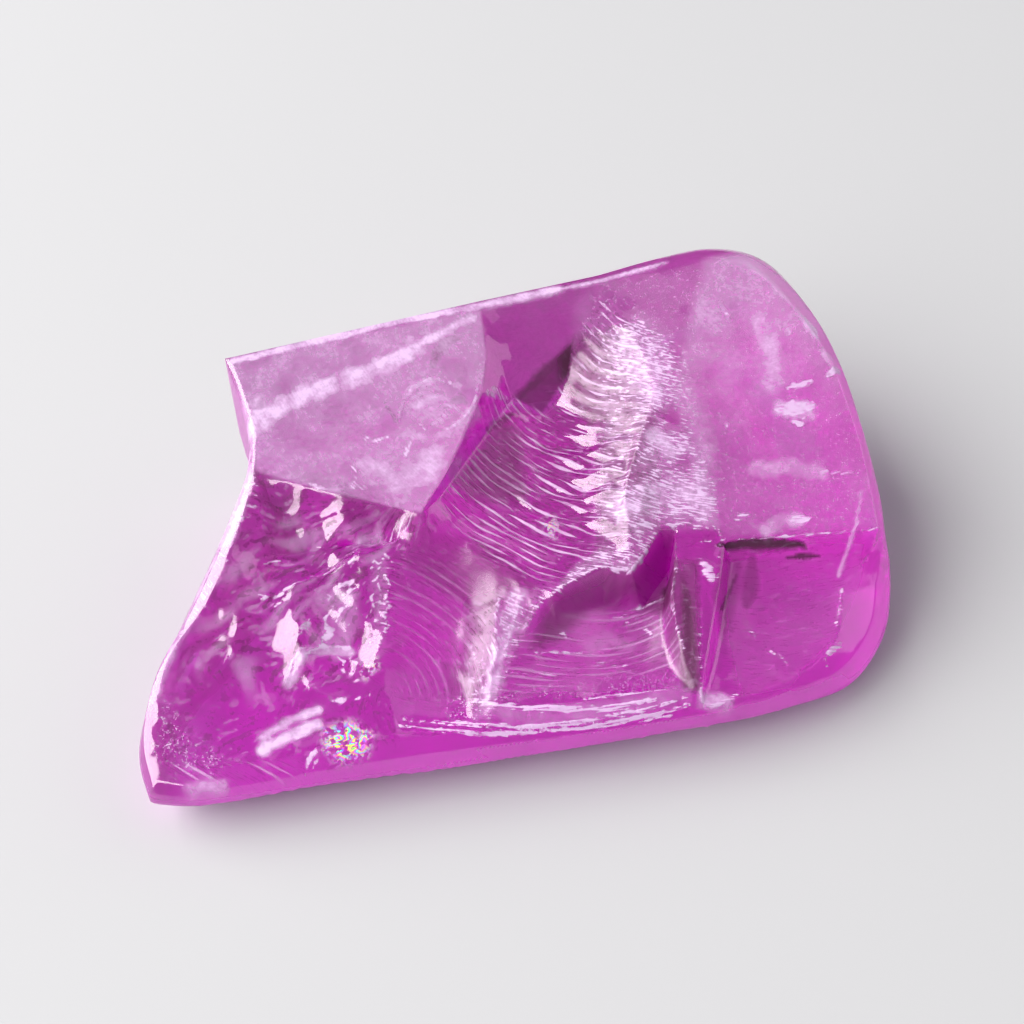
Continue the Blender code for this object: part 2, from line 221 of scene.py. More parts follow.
# The zones of the break, each outlined by the picture points of its corners.
crest_hair = outline_of((605, 335), (640, 318), (675, 350), (678, 385), (660, 418), (640, 410),
    (622, 385), (608, 360))
crest_middle = outline_of((640, 440), (662, 425), (684, 430), (690, 450), (672, 462), (652, 460),
    (635, 468))
crest_low = outline_of((600, 500), (640, 480), (660, 465), (700, 470), (712, 500), (704, 521), (662, 522),
    (629, 524), (600, 515))
grey_grain = outline_of((629, 524), (662, 522), (648, 550), (631, 571), (600, 566), (585, 575),
    (560, 590), (552, 592), (575, 565), (600, 548), (620, 545))
rib_zone = outline_of((497, 400), (512, 398), (560, 372), (575, 342), (600, 300), (622, 312), (655, 385),
    (640, 440), (624, 490), (629, 524), (602, 566), (554, 593), (520, 580), (470, 545), (438, 500),
    (470, 455))
upper_speckle = outline_of((580, 300), (600, 284), (700, 262), (704, 285), (690, 340), (660, 345),
    (625, 310), (600, 330), (575, 342))
rib_top = outline_of((556, 356), (578, 334), (606, 330), (612, 420), (590, 425), (572, 405))
crest_step = outline_of((592, 332), (632, 325), (652, 400), (660, 470), (655, 525), (600, 548), (598, 470),
    (602, 400))
ledge_zone = outline_of((395, 700), (470, 700), (500, 690), (690, 680), (702, 712), (540, 748), (395, 745))
crest_pale = outline_of((684, 350), (704, 440), (716, 505), (720, 530), (700, 525), (690, 450),
    (672, 462), (684, 430), (672, 400))
bowl_base = outline_of((500, 700), (500, 690), (560, 685), (620, 672), (680, 668), (688, 690), (620, 695),
    (560, 700))
ridge_zone = outline_of((500, 590), (520, 592), (545, 592), (530, 620), (515, 650), (505, 680),
    (495, 705), (490, 728), (478, 700), (484, 660), (492, 620))
grain_left_of_ridge = outline_of((470, 640), (482, 650), (486, 690), (480, 722), (460, 725), (445, 715),
    (448, 700), (468, 690))
curved_lines = outline_of((395, 570), (440, 560), (480, 590), (490, 640), (480, 680), (440, 700),
    (400, 690), (390, 640))
bowl_lines = outline_of((500, 690), (520, 640), (580, 620), (660, 590), (674, 620), (684, 660),
    (680, 668), (620, 672), (560, 685))
shell = outline_of((320, 592), (336, 586), (352, 580), (360, 590), (358, 615), (345, 635), (325, 640),
    (305, 650), (297, 628), (310, 610))
toe_sparkle = outline_of((150, 700), (170, 700), (200, 740), (225, 760), (215, 775), (180, 770),
    (150, 760))
left_end = outline_of((250, 475), (300, 490), (420, 515), (400, 560), (390, 640), (330, 700), (230, 690),
    (170, 690), (190, 640), (225, 580), (240, 520))
flat_triangle = outline_of((480, 308), (600, 284), (572, 341), (512, 398), (490, 370))
toe_field = outline_of((150, 680), (330, 700), (395, 690), (400, 745), (300, 785), (160, 795))
ridge_side = outline_of((466, 600), (498, 592), (494, 705), (470, 722), (458, 660))
dark_wedge = outline_of((513, 396), (573, 341), (569, 372), (542, 413))
dark_bowl_wall = outline_of((560, 592), (602, 568), (632, 572), (662, 530), (674, 530), (672, 600),
    (630, 602), (590, 612), (560, 640), (530, 650), (545, 610))
dark_slope = outline_of((450, 470), (500, 420), (520, 430), (525, 500), (470, 500))
dark_saddle = outline_of((420, 520), (500, 545), (540, 590), (500, 600), (470, 602), (440, 590), (400, 560))
dark_saddle_foot = outline_of((440, 660), (470, 668), (480, 700), (450, 700))
dark_shelf_wall = outline_of((335, 492), (415, 514), (398, 532), (345, 520))
dark_left_wall = outline_of((252, 468), (300, 486), (306, 560), (266, 560), (262, 500))
cheek = outline_of((724, 548), (800, 536), (870, 536), (862, 580), (838, 640), (790, 690), (740, 700),
    (724, 640))
bowl_floor = outline_of((550, 600), (602, 574), (672, 560), (674, 620), (684, 660), (684, 690), (500, 695),
    (520, 640))
saddle = outline_of((400, 530), (440, 510), (540, 590), (520, 600), (495, 640), (484, 700), (440, 712),
    (400, 705), (390, 640), (392, 560))
column_wall = outline_of((662, 590), (676, 560), (692, 600), (700, 692), (684, 690), (668, 640))
dark_column = outline_of((680, 560), (698, 560), (700, 690), (684, 690))
dark_column_side = outline_of((722, 550), (746, 552), (738, 600), (722, 640), (714, 600))
toe_lines = outline_of((165, 765), (225, 762), (300, 768), (296, 782), (230, 785), (180, 782))
left_lip_pale = outline_of((240, 470), (248, 462), (262, 480), (258, 505), (235, 540), (222, 580),
    (206, 605), (185, 635), (168, 670), (160, 660), (178, 620), (205, 585), (215, 545), (225, 515))
face_low_patch = outline_of((762, 536), (770, 520), (780, 512), (792, 514), (806, 514), (812, 520),
    (795, 528), (775, 533))
rainbow_low = outline_of((325, 730), (350, 722), (372, 735), (365, 755), (340, 762), (325, 750))
rainbow_high = outline_of((360, 665), (374, 655), (378, 665), (365, 678))
rainbow_band = outline_of((542, 520), (552, 514), (560, 525), (556, 540), (546, 534))
broad_face = outline_of((704, 262), (745, 244), (800, 275), (850, 350), (885, 430), (895, 530),
    (862, 531), (760, 536), (724, 538), (716, 505), (700, 440), (684, 350))
shelf = outline_of((232, 362), (480, 308), (487, 356), (482, 392), (467, 433), (452, 461), (437, 487),
    (421, 513), (335, 494), (253, 470), (250, 440), (240, 395))

# The lines of each kind run in rings round a centre, at a pitch in millimetres.
rib_centre = on_stone(710, 197)
rib_pitch = 0.36
rib_distance = 17.0
curve_centre = on_stone(372, 702)
curve_pitch = 0.42
ledge_centre = on_stone(520, 231)
ledge_pitch = 0.34
streak_centre = on_stone(445, 492)
saw_pitch = 0.30
saw_slant = 0.12

# The marks of the break: name, half width, whiteness, height and darkness, then the picture points
# of the path. A mark with a height is a real little ridge or groove, whitened where it is bruised. The
# darkness is painted shade, in grooves, creases and dark inner places, and the glints are painted
# highlights.
marks = [
    # the pale shelf
    ("ring_left", 0.06, 0.8, 0.03, 0, (398, 425), (402, 404), (412, 388), (432, 378), (452, 383)),
    ("ring_right", 0.07, 0.8, 0.03, 0, (436, 432), (452, 428), (468, 414), (476, 398), (478, 384)),
    ("ring_inside", 0.06, 0.8, 0, 0, (412, 418), (424, 428), (440, 420), (452, 408)),
    ("shelf_fleck_right", 0.12, 0.95, 0, 0, (405, 456), (409, 446), (413, 438)),
    ("shelf_fleck_left", 0.1, 0.9, 0, 0, (364, 436), (372, 442), (388, 436)),
    ("shelf_foot_fleck", 0.12, 0.8, 0, 0, (310, 484), (318, 488), (326, 490)),
    ("shelf_fringe", 0.14, 0.5, 0, 0, (352, 462), (356, 474), (350, 486), (366, 488)),
    ("crack_pool", 0.28, 0, 0, 0.45, (432, 366), (438, 352), (446, 342), (458, 338)),
    ("crack_spot", 0.22, 0, 0, 0.5, (452, 402), (460, 398), (466, 402)),
    ("crack_line", 0.1, 0, 0, 0.4, (384, 402), (392, 414), (398, 424)),
    ("crack_line_high", 0.1, 0.7, 0, 0, (408, 400), (424, 392), (440, 398)),
    ("crack_line_low", 0.1, 0.7, 0, 0, (436, 410), (448, 404), (462, 412)),
    ("bevel_node", 0.2, 0.6, 0.03, 0, (486, 394), (498, 392), (508, 398)),
    # the wedge and its neighbours
    ("wedge_shade", 0.3, 0, 0, 0.75, (520, 398), (542, 376), (560, 358)),
    ("bevel_shade", 0.22, 0, 0, 0.55, (488, 432), (498, 424), (512, 414)),
    # the lip and the column
    ("lip_edge", 0.09, 0.9, 0.03, 0, (552, 594), (566, 584), (578, 578), (590, 570), (602, 565),
     (616, 568), (631, 571), (640, 560), (648, 548)),
    ("column_lip", 0.07, 0.9, 0.03, 0, (655, 524), (672, 525), (682, 524), (700, 528), (719, 530)),
    ("column_line", 0.05, 0.6, 0.02, 0, (682, 545), (700, 543), (719, 539)),
    ("column_blob", 0.28, 0.95, 0.05, 0, (703, 562), (708, 570), (712, 582)),
    ("column_left", 0.07, 0.45, 0.03, 0, (676, 540), (676, 570), (672, 600), (677, 625), (684, 650)),
    ("column_right", 0.06, 0.4, 0.03, 0, (720, 532), (719, 560), (716, 590)),
    ("column_flute", 0.06, 0.3, 0.02, 0, (700, 600), (700, 640), (702, 690)),
    ("column_dark_left", 0.1, 0, -0.02, 0.75, (688, 588), (690, 610), (691, 640), (690, 660)),
    ("column_dark_right", 0.1, 0, -0.02, 0.75, (736, 575), (728, 595), (720, 612)),
    ("column_foot", 0.1, 0.8, 0.02, 0, (700, 690), (704, 706)),
    ("column_foot_right", 0.12, 0.7, 0.02, 0, (708, 708), (722, 702), (738, 694)),
    # the bowl
    ("bowl_line_low", 0.05, 0.6, 0.02, 0, (510, 673), (550, 675), (590, 673)),
    ("bowl_line_mid", 0.05, 0.4, 0.02, 0, (550, 666), (600, 664), (640, 665)),
    ("bowl_line_high", 0.05, 0.6, 0.02, 0, (536, 652), (580, 653), (620, 649)),
    ("bowl_scratch", 0.05, 0.6, 0, 0, (612, 618), (625, 615), (645, 606), (662, 598)),
    ("bowl_scratch_low", 0.05, 0.6, 0, 0, (625, 624), (645, 617), (660, 612)),
    ("bowl_fleck", 0.08, 1, 0, 0, (561, 634), (567, 637)),
    ("bowl_fleck_right", 0.08, 1, 0, 0, (646, 630), (651, 634)),
    # the narrow ridge
    ("ridge_left", 0.07, 0.8, 0.04, 0, (500, 595), (494, 625), (497, 650), (490, 680), (487, 700)),
    ("ridge_mid", 0.06, 0.7, 0.04, 0, (520, 600), (508, 640), (502, 670), (496, 700)),
    ("ridge_right", 0.06, 0.6, 0.04, 0, (545, 595), (528, 620), (512, 655)),
    # the ledges along the front
    ("ledge_top", 0.16, 0.95, 0.06, 0, (474, 702), (500, 705), (530, 708), (560, 708), (600, 710),
     (630, 704), (655, 700)),
    ("ledge_top_right", 0.09, 0.9, 0.04, 0, (584, 699), (610, 696), (640, 693), (665, 690)),
    ("ledge_mid", 0.09, 0.95, 0.06, 0, (404, 719), (430, 722), (455, 724), (480, 725), (520, 727),
     (560, 724), (590, 721), (620, 714), (650, 708), (688, 697)),
    ("ledge_low_left", 0.1, 1, 0.07, 0, (400, 726), (430, 729), (460, 732), (486, 734), (520, 733),
     (536, 733)),
    ("ledge_low_right", 0.09, 0.95, 0.06, 0, (540, 731), (580, 728), (610, 724), (640, 716), (670, 711),
     (690, 704)),
    ("ledge_end", 0.08, 0.7, 0.03, 0, (640, 722), (656, 716), (672, 716)),
    # the cheek at the lower right
    ("crevice", 0.17, 0, -0.12, 1.0, (718, 545), (745, 544), (770, 544), (806, 546)),
    ("crevice_tail", 0.10, 0, -0.04, 0.9, (788, 558), (804, 557), (818, 556)),
    ("step_edge", 0.05, 0.7, 0.02, 0, (722, 540), (760, 538), (800, 535), (840, 532), (880, 532)),
    ("cheek_shade", 0.45, 0, 0, 0.42, (752, 560), (750, 585), (746, 605)),
    ("cheek_line", 0.06, 0.5, 0.02, 0, (742, 620), (752, 632), (758, 640)),
    ("cheek_line_low", 0.06, 0.6, 0.02, 0, (770, 650), (780, 656), (788, 664)),
    ("cheek_edge", 0.08, 0.45, 0.02, 0, (862, 500), (856, 525), (846, 555), (838, 576)),
    ("cheek_edge_low", 0.07, 0.5, 0.02, 0, (842, 575), (841, 600), (838, 618), (833, 635)),
    ("cheek_glint", 0.14, 0.85, 0, 0, (828, 654), (836, 647), (842, 643)),
    ("cheek_glint_low", 0.1, 0.6, 0, 0, (826, 660), (828, 672)),
    # the round end's broad face
    ("rim_mark_top", 0.26, 1.2, 0, 0, (802, 316), (812, 328), (818, 338)),
    ("rim_mark", 0.2, 1.2, 0, 0, (828, 376), (836, 370), (842, 366)),
    ("tie_blob", 0.42, 1.2, 0, 0, (778, 410), (795, 408), (812, 406)),
    ("tie_blob_low", 0.16, 0.8, 0, 0, (790, 420), (800, 424), (808, 418)),
    ("tie_line", 0.14, 1.2, 0, 0, (786, 388), (800, 385), (812, 381)),
    ("dash_top", 0.1, 0.7, 0, 0, (720, 302), (724, 310), (730, 322)),
    ("dash_low", 0.1, 0.7, 0, 0, (725, 430), (727, 423)),
    ("dot_top", 0.2, 0.6, 0, 0, (786, 334), (792, 328)),
    ("face_line", 0.07, 0.6, 0.02, 0, (808, 470), (820, 472), (850, 473), (862, 472)),
    ("low_blob", 0.22, 1.1, 0, 0, (792, 519), (800, 520), (808, 518)),
    ("low_flecks", 0.12, 0.7, 0, 0, (735, 520), (748, 514)),
    # the left end
    ("groove_dash", 0.07, 0.95, 0.03, 0, (262, 564), (270, 562), (280, 560)),
    ("groove_dash_low", 0.05, 0.9, 0.03, 0, (262, 603), (275, 598), (287, 593)),
    ("groove_dash_cross", 0.05, 0.8, 0.02, 0, (254, 592), (266, 598), (278, 595)),
    ("groove_dash_foot", 0.05, 0.8, 0.02, 0, (270, 610), (282, 601)),
    ("streak_ridge", 0.3, 0.22, 0.1, 0, (418, 515), (400, 532), (375, 550), (350, 562), (310, 580),
     (263, 598)),
    ("shell_edge", 0.12, 0.9, 0.05, 0, (335, 586), (348, 582), (360, 578)),
    ("comb_top", 0.06, 0.95, 0.03, 0, (370, 570), (374, 561), (380, 563), (386, 555), (390, 560)),
    ("comb_right", 0.06, 0.95, 0.04, 0, (391, 562), (385, 574), (390, 586), (386, 598), (390, 606),
     (383, 614), (388, 626), (381, 636), (379, 646)),
    ("comb_left", 0.05, 0.90, 0.04, 0, (368, 572), (374, 584), (370, 596), (374, 606), (367, 618),
     (372, 630), (368, 640), (378, 647)),
    ("comb_mid", 0.05, 0.80, 0.02, 0, (380, 566), (377, 580), (382, 592), (378, 604), (382, 616)),
    ("comb_tooth_top", 0.05, 0.80, 0.02, 0, (371, 603), (379, 601), (387, 604)),
    ("comb_tooth_low", 0.05, 0.80, 0.02, 0, (369, 622), (377, 620), (386, 623)),
    ("comb_tooth_foot", 0.05, 0.70, 0.02, 0, (366, 634), (374, 637), (381, 635)),
    ("fork_left", 0.09, 0.90, 0.03, 0, (299, 630), (297, 642), (301, 650), (292, 661), (289, 672),
     (284, 685)),
    ("fork_left_twin", 0.05, 0.70, 0.02, 0, (306, 655), (298, 664), (292, 676)),
    ("fork_right", 0.09, 0.85, 0.03, 0, (303, 657), (312, 650), (324, 646), (338, 646), (352, 648)),
    ("fork_foot", 0.07, 0.80, 0.02, 0, (336, 655), (344, 660), (340, 668), (350, 673), (345, 680),
     (358, 681)),
    ("fork_loop", 0.06, 0.70, 0.02, 0, (352, 648), (350, 658), (358, 664), (352, 676)),
    ("fork_low", 0.06, 0.50, 0.02, 0, (326, 704), (345, 700), (360, 698), (378, 694)),
    ("flake_edge", 0.06, 0.9, 0.03, 0, (258, 752), (272, 747), (290, 740), (306, 734), (318, 728)),
    ("flake_side", 0.05, 0.60, 0.02, 0, (285, 724), (300, 728), (318, 724)),
    ("flake_foot", 0.09, 0.80, 0.02, 0, (305, 775), (308, 762), (314, 752), (318, 746)),
    ("flake_foot_twin", 0.05, 0.70, 0.02, 0, (312, 770), (318, 758)),
]

# The clouded places, where small cracks lie under the face, and a few painted glints, highlights and
# sheens on the shelf and the broad face: name, half width and whiteness, then the picture points of the
# path.
veils_and_sheens = [
    ("shelf_streak", 0.62, 0.75, (256, 426), (275, 410), (305, 394), (335, 384), (360, 375), (395, 360),
     (413, 347)),
    ("streak_core_left", 0.30, 1.0, (256, 414), (270, 410), (282, 408)),
    ("streak_core_middle", 0.34, 0.9, (300, 394), (318, 386), (334, 380)),
    ("streak_core_right", 0.30, 1.0, (380, 364), (398, 354), (416, 346)),
    ("shelf_streak_end", 0.28, 0.7, (413, 347), (432, 338), (452, 328), (472, 318)),
    ("shelf_glint", 0.16, 0.50, (262, 368), (258, 388), (256, 408)),
    ("left_lip", 0.15, 0.45, (252, 392), (254, 420), (252, 445), (249, 462)),
    ("saw_strip", 0.28, 0.90, (234, 361), (300, 345), (400, 319), (480, 306), (560, 289)),
    ("saw_strip_end", 0.16, 0.60, (560, 289), (600, 281), (640, 270), (665, 263)),
    ("crack_top", 0.24, 0.5, (402, 398), (415, 385), (435, 380), (458, 386)),
    ("crack_low", 0.34, 0.5, (405, 432), (430, 440), (455, 430), (474, 408)),
    ("crack_inside", 0.35, 0.5, (415, 405), (430, 400), (445, 398)),
    # painted highlight and painted sheen on the broad face's upper part
    ("face_painted_highlight", 0.9, 0.45, (760, 320), (770, 350), (775, 380)),
    ("face_rim", 0.35, 0.5, (745, 262), (775, 285), (800, 315), (820, 345), (838, 372)),
    ("face_low_haze", 0.5, 0.4, (755, 470), (785, 466), (820, 472)),
    ("shelf_foot", 0.95, 0.55, (372, 470), (400, 480), (425, 470), (440, 452)),
    ("pale_oval", 0.34, 0.50, (362, 542), (376, 541)),
    ("toe_patch", 0.30, 0.6, (190, 790), (205, 786), (222, 789)),
    ("left_edge_top", 0.50, 0.55, (246, 470), (240, 490), (228, 515), (222, 535)),
    ("left_edge_mid", 0.28, 0.45, (222, 535), (212, 565), (200, 590), (185, 615)),
    ("left_edge_low", 0.28, 0.40, (185, 615), (170, 640), (160, 665), (152, 700)),
    ("crest_top", 0.80, 0.45, (628, 345), (650, 370), (655, 395)),
    ("crest_mid", 0.55, 0.60, (655, 435), (668, 450)),
    ("crest_low", 0.75, 0.50, (625, 505), (655, 495), (685, 485), (700, 500)),
    ("crest_side", 0.90, 0.30, (690, 400), (700, 440), (705, 480)),
    ("bowl_haze", 0.45, 0.16, (590, 648), (610, 640), (628, 645)),
    ("ledge_haze", 0.45, 0.20, (480, 712), (530, 718), (580, 714), (640, 704), (685, 694)),
    ("ridge_haze", 0.45, 0.40, (518, 598), (504, 640), (490, 690)),
    ("column_foot_haze", 0.45, 0.45, (705, 700), (725, 700)),
    ("face_low_patch", 0.40, 0.45, (766, 530), (782, 520), (800, 520)),
    # painted sheen over the broad face's top
    ("face_top_painted_sheen", 1.60, 0.22, (745, 285), (780, 315), (800, 360)),
    ("tie_haze", 0.50, 0.65, (780, 408), (808, 410)),
    ("fan_haze", 0.60, 0.25, (325, 600), (345, 600), (350, 620), (320, 640)),
    ("comb_haze", 0.40, 0.15, (378, 565), (380, 600), (377, 640)),
    ("flake_band", 0.30, 0.95, (262, 750), (285, 738), (318, 724)),
    ("flake_band_high", 0.22, 0.85, (262, 738), (290, 720), (318, 711)),
    ("fork_haze", 0.30, 0.6, (303, 655), (296, 668), (288, 682)),
    ("fork_haze_right", 0.25, 0.5, (312, 650), (335, 648), (350, 652)),
    ("shoulder_line", 0.10, 0.45, (862, 490), (856, 525), (846, 555), (838, 576)),
]

shape = bmesh.new()
shape.from_mesh(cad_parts["zircon"].data)
bmesh.ops.remove_doubles(shape, verts=shape.verts, dist=0.001 * mm)
bmesh.ops.recalc_face_normals(shape, faces=shape.faces)
bmesh.ops.triangulate(shape, faces=shape.faces)
sharp_turn = radians(24.0)
for edge in shape.edges:
    edge.smooth = edge.calc_face_angle(0.0) < sharp_turn


def wanted_edge(x, y, z, facing):
    """The edge length wanted at each place, in millimetres: finest where the relief is finest."""
    belly_edge, top_edge, fine_edge = 0.42, 0.20, 0.13
    on_top = (depth_inside(rim, x, y) > -0.8) & (facing > -0.2) & (z > 1.0)
    wanted = np.where(on_top, top_edge, belly_edge)
    for outline in (rib_zone, crest_hair, crest_middle, crest_low, grey_grain, ridge_zone, shell):
        wanted = np.where(on_top & (depth_inside(outline, x, y) > -0.2), fine_edge, wanted)
    for outline in (shelf, dark_wedge):
        wanted = np.where(on_top & (abs(depth_inside(outline, x, y)) < 0.2), fine_edge, wanted)
    for name, half_width, whiteness, height, darkness, *seen in marks:
        if max(whiteness, darkness) > 0.3:
            reach, _ = distance_to(outline_of(*seen), x, y)
            wanted = np.where(on_top & (reach < half_width + 0.12), fine_edge, wanted)
    return wanted


split_rounds = 4
for _ in range(split_rounds):
    shape.normal_update()
    shape.verts.index_update()
    place = np.array([v.co for v in shape.verts]) / mm
    facing = np.array([v.normal.z for v in shape.verts])
    wanted = wanted_edge(*place.T, facing)
    long_edges = [e for e in shape.edges
                  if e.calc_length() / mm > 1.4 * min(wanted[e.verts[0].index], wanted[e.verts[1].index])]
    if not long_edges:
        break
    bmesh.ops.subdivide_edges(shape, edges=long_edges, cuts=1)
    bmesh.ops.triangulate(shape, faces=[f for f in shape.faces if len(f.verts) > 3])

# where the splitting leaves two faces over the same three corners, both of them go
same_corners = {}
for face in shape.faces:
    same_corners.setdefault(frozenset(face.verts), []).append(face)
twins = [face for group in same_corners.values() if len(group) > 1 for face in group]
bmesh.ops.delete(shape, geom=twins, context="FACES")

shape.verts.index_update()
shape.edges.index_update()
pairs = np.array([[v.index for v in e.verts] for e in shape.edges])
sharp = np.array([not e.smooth for e in shape.edges])
place = np.array([v.co for v in shape.verts]) / mm
count = len(place)

# easing: faces even out, ridges ease along themselves, and corners stay; each move inwards is followed
# by one outwards, which keeps the size
easing_rounds = 14
ridge_ends = np.bincount(pairs[sharp].ravel(), minlength=count)
for turn_number in range(easing_rounds):
    move = 0.6 if turn_number % 2 == 0 else -0.62
    for links, here in ((pairs, ridge_ends == 0), (pairs[sharp], ridge_ends == 2)):
        ends = np.concatenate([links, links[:, ::-1]])
        neighbours = np.maximum(np.bincount(ends[:, 0], minlength=count), 1)
        mean = np.stack([np.bincount(ends[:, 0], place[ends[:, 1], k], count) for k in range(3)], 1)
        place = place + np.where(here, move, 0.0)[:, None] * (mean / neighbours[:, None] - place)
for vertex, co in zip(shape.verts, place):
    vertex.co = Vector(co) * mm
shape.normal_update()
normals = np.array([v.normal for v in shape.verts])
x, y, z = place.T
on_top = ease(depth_inside(rim, x, y), -0.05, 0.12) * ease(normals[:, 2], 0.0, 0.2)
facing_up = ease(normals[:, 2], -0.1, 0.15) * ease(z, 1.5, 3.0)
skin = (1.0 - on_top) * (1.0 - 0.8 * ease(normals[:, 2], 0.1, 0.6))
under = skin * ease(-normals[:, 2], 0.05, 0.5) * np.clip(0.68 + 0.3 * cloud(x, y, z, 4.0, 13), 0.1, 0.95)


def zone(outline, soft=0.3):
    """How much each place belongs to a zone of the upper side, 0 to 1, with a soft border."""
    return ease(depth_inside(outline, x, y), -soft, soft) * facing_up


def zones_together(*rows):
    """Several zones added up: each row is an outline, the softness of its border and its share."""
    return sum(share * zone(outline, soft) for outline, soft, share in rows)


# a place counts as part of a zone above this share
barely = 0.02
wedge = zone(dark_wedge, 0.08)
ribs = zone(rib_zone) * (1.0 - wedge)
hair = zone(crest_hair, 0.8)
middle = zone(crest_middle, 0.7)
low = zone(crest_low, 0.7)
grain = zone(grey_grain, 0.15)
ridge = zone(ridge_zone)
curves = zone(curved_lines, 0.8)
bowl = zone(bowl_lines, 0.6)
toe = zone(toe_lines, 0.4)
fan = zone(shell, 0.2)

# how far each place lies from the centre of its rings, counted in lines, and how far along its line
wander = 0.22 * cloud(x, y, z * 0.0, 2.6, 1) + 0.05 * cloud(x, y, z * 0.0, 0.8, 2)
rib_ring = (np.hypot(x - rib_centre[0], y - rib_centre[1]) + wander) / rib_pitch
curve_ring = (np.hypot(x - curve_centre[0], y - curve_centre[1]) + 0.3 * wander) / curve_pitch
ledge_ring = (np.hypot(x - ledge_centre[0], y - ledge_centre[1]) + 0.2 * wander) / ledge_pitch
ring = np.where(curves > barely, curve_ring, rib_ring)
on_ledges = (bowl > barely) | (toe > barely) | (zone(ledge_zone) > barely)
ring = np.where(on_ledges, ledge_ring, ring)
arc = np.arctan2(y - rib_centre[1], x - rib_centre[0]) * rib_distance

rib_share = 0.5 * rib_ring - np.floor(0.5 * rib_ring)
rib_step = np.where(rib_share < 0.7, rib_share / 0.7, (1.0 - rib_share) / 0.3) - 0.5
rib_strength = np.clip(ribs * (0.75 + 0.9 * cloud(x, y, z, 1.5, 3)), 0.0, 1.0)
rib_strength = rib_strength * (1.0 - 0.6 * zone(dark_slope, 0.5))
lines = np.clip(0.9 * rib_strength + 0.9 * hair + 0.12 * curves + 0.35 * bowl + 0.5 * toe, 0.0, 1.0)

rough_end = zone(toe_sparkle, 0.6)
broken_end = zone(left_end, 1.0)
face_share = zone(broad_face, 0.4)
flat = np.maximum(face_share, zone(shelf, 0.4))
# long streaks that spread over the left end from the corner where its faces meet
streak_angle = np.arctan2(y - streak_centre[1], x - streak_centre[0]) + 0.12 * cloud(x, y, z, 2.5, 17)
streak_reach = np.hypot(x - streak_centre[0], y - streak_centre[1])
streaks = cloud(streak_angle * 13.0, streak_reach * 0.4, z * 0.0, 1.0, 18)
toe_share = zone(toe_field, 0.8)
on_streaks = (np.maximum(broken_end, toe_share) > 0.3) & (toe < barely) & (curves < barely)
ring = np.where(on_streaks, streak_angle * 6.5, ring)
arc = np.where(on_streaks, streak_reach * 0.6, arc)

# the sawn back keeps the fine slanting lines of the saw
sawn = ease(normals[:, 1], 0.8, 0.95) * ease(y, 9.0, 10.0)
ring = np.where(sawn > barely, (z + saw_slant * x) / saw_pitch, ring)
arc = np.where(sawn > barely, 0.6 * x, arc)
lines = np.where(sawn > barely, 0.3 * sawn, lines)

# the relief, in millimetres: ribs and fibres, slow waves, and the hollow facets of the broken parts
step = zone(crest_step, 0.5)
steep = np.maximum(step, zone(rib_top, 0.4))
ridge_left = zone(ridge_side, 0.3)
fine = cloud(x, y, z, 0.34, 4)
strands = cloud(rib_ring * 1.1, arc * 0.45, z * 0.0, 1.0, 8)
lift = 0.022 * (1.0 + 2.2 * steep) * rib_strength * rib_step
lift = lift + 0.03 * (hair + middle + low) * strands + 0.03 * grain * fine + 0.05 * ridge * fine
lift = lift + 0.05 * fan * np.sin(rib_ring * 2.4)
lift = lift + (0.05 - 0.04 * flat) * on_top * cloud(x, y, z, 2.2, 5)
lift = lift + (0.008 - 0.006 * flat) * on_top * cloud(x, y, z, 0.9, 6)
lift = lift + broken_end * scallops(x, y, 2.6, 0.075, 0.10, 9)
lift = lift + 0.5 * broken_end * scallops(x, y, 1.1, 0.10, 0.12, 10)
lift = lift + 0.06 * broken_end * streaks
lift = lift + 0.7 * (ridge + low + 1.3 * ridge_left) * scallops(x, y, 0.9, 0.10, 0.15, 14)
lift = lift + zone(dark_saddle, 1.0) * scallops(x, y, 2.2, 0.04, 0.05, 15)
worn_dishes = scallops(x, y, 4.6, 0.035, 0.06, 16)
lift = lift - skin * ease(-normals[:, 2], 0.1, 0.5) * ease(z, 0.3, 1.2) * (worn_dishes - worn_dishes.min())
lift = lift + 0.08 * rough_end * cloud(x, y, z, 0.5, 7)

# what lies on the break, each as a share from 0 to 1: bruised white, white dots, and clouded places, with a
# painted sheen on the broad face and the shelf
frost = 0.60 * np.maximum(np.maximum(hair, middle), np.maximum(low, 0.35 * step))
frost = frost + 0.45 * grain + 0.35 * ridge + 0.30 * fan
frost = frost + zones_together(
    (crest_pale, 0.3, 0.25), (left_lip_pale, 0.15, 0.25), (face_low_patch, 0.15, 0.15),
)
speckle = zones_together((upper_speckle, 0.3, 0.7), (bowl_base, 0.4, 0.8), (grain_left_of_ridge, 0.2, 1.0))
speckle = speckle + 0.6 * face_share + 0.9 * rough_end + 0.6 * ridge + 0.5 * grain
# painted sheen: a pale haze over the shelf, and over the broad face growing towards its back, stands in for
# the lamp's reflection on these flat faces; the rest is real clouding and bruising
veil_and_painted_sheen = face_share * (0.12 + 0.22 * ease(y, -1.0, 9.0)) + 0.32 * zone(shelf, 0.1) + 0.25 * zone(crest_pale)
veil_and_painted_sheen = veil_and_painted_sheen + 0.31 * np.maximum(hair + middle + low, 0.3 * step) + 0.15 * grain + 0.12 * ridge
veil_and_painted_sheen = veil_and_painted_sheen + 0.12 * zone(upper_speckle, 0.6)
veil_and_painted_sheen = veil_and_painted_sheen + 0.04 * zone(flat_triangle, 0.15) + 0.28 * broken_end * ease(streaks, 0.15, 0.6)
veil_and_painted_sheen = veil_and_painted_sheen * (1.0 + 0.5 * cloud(x, y, z, 1.3, 19)) + 0.25 * sawn + 0.06 * skin
blotches = 1.0 + 0.6 * cloud(x, y, z, 0.9, 20)
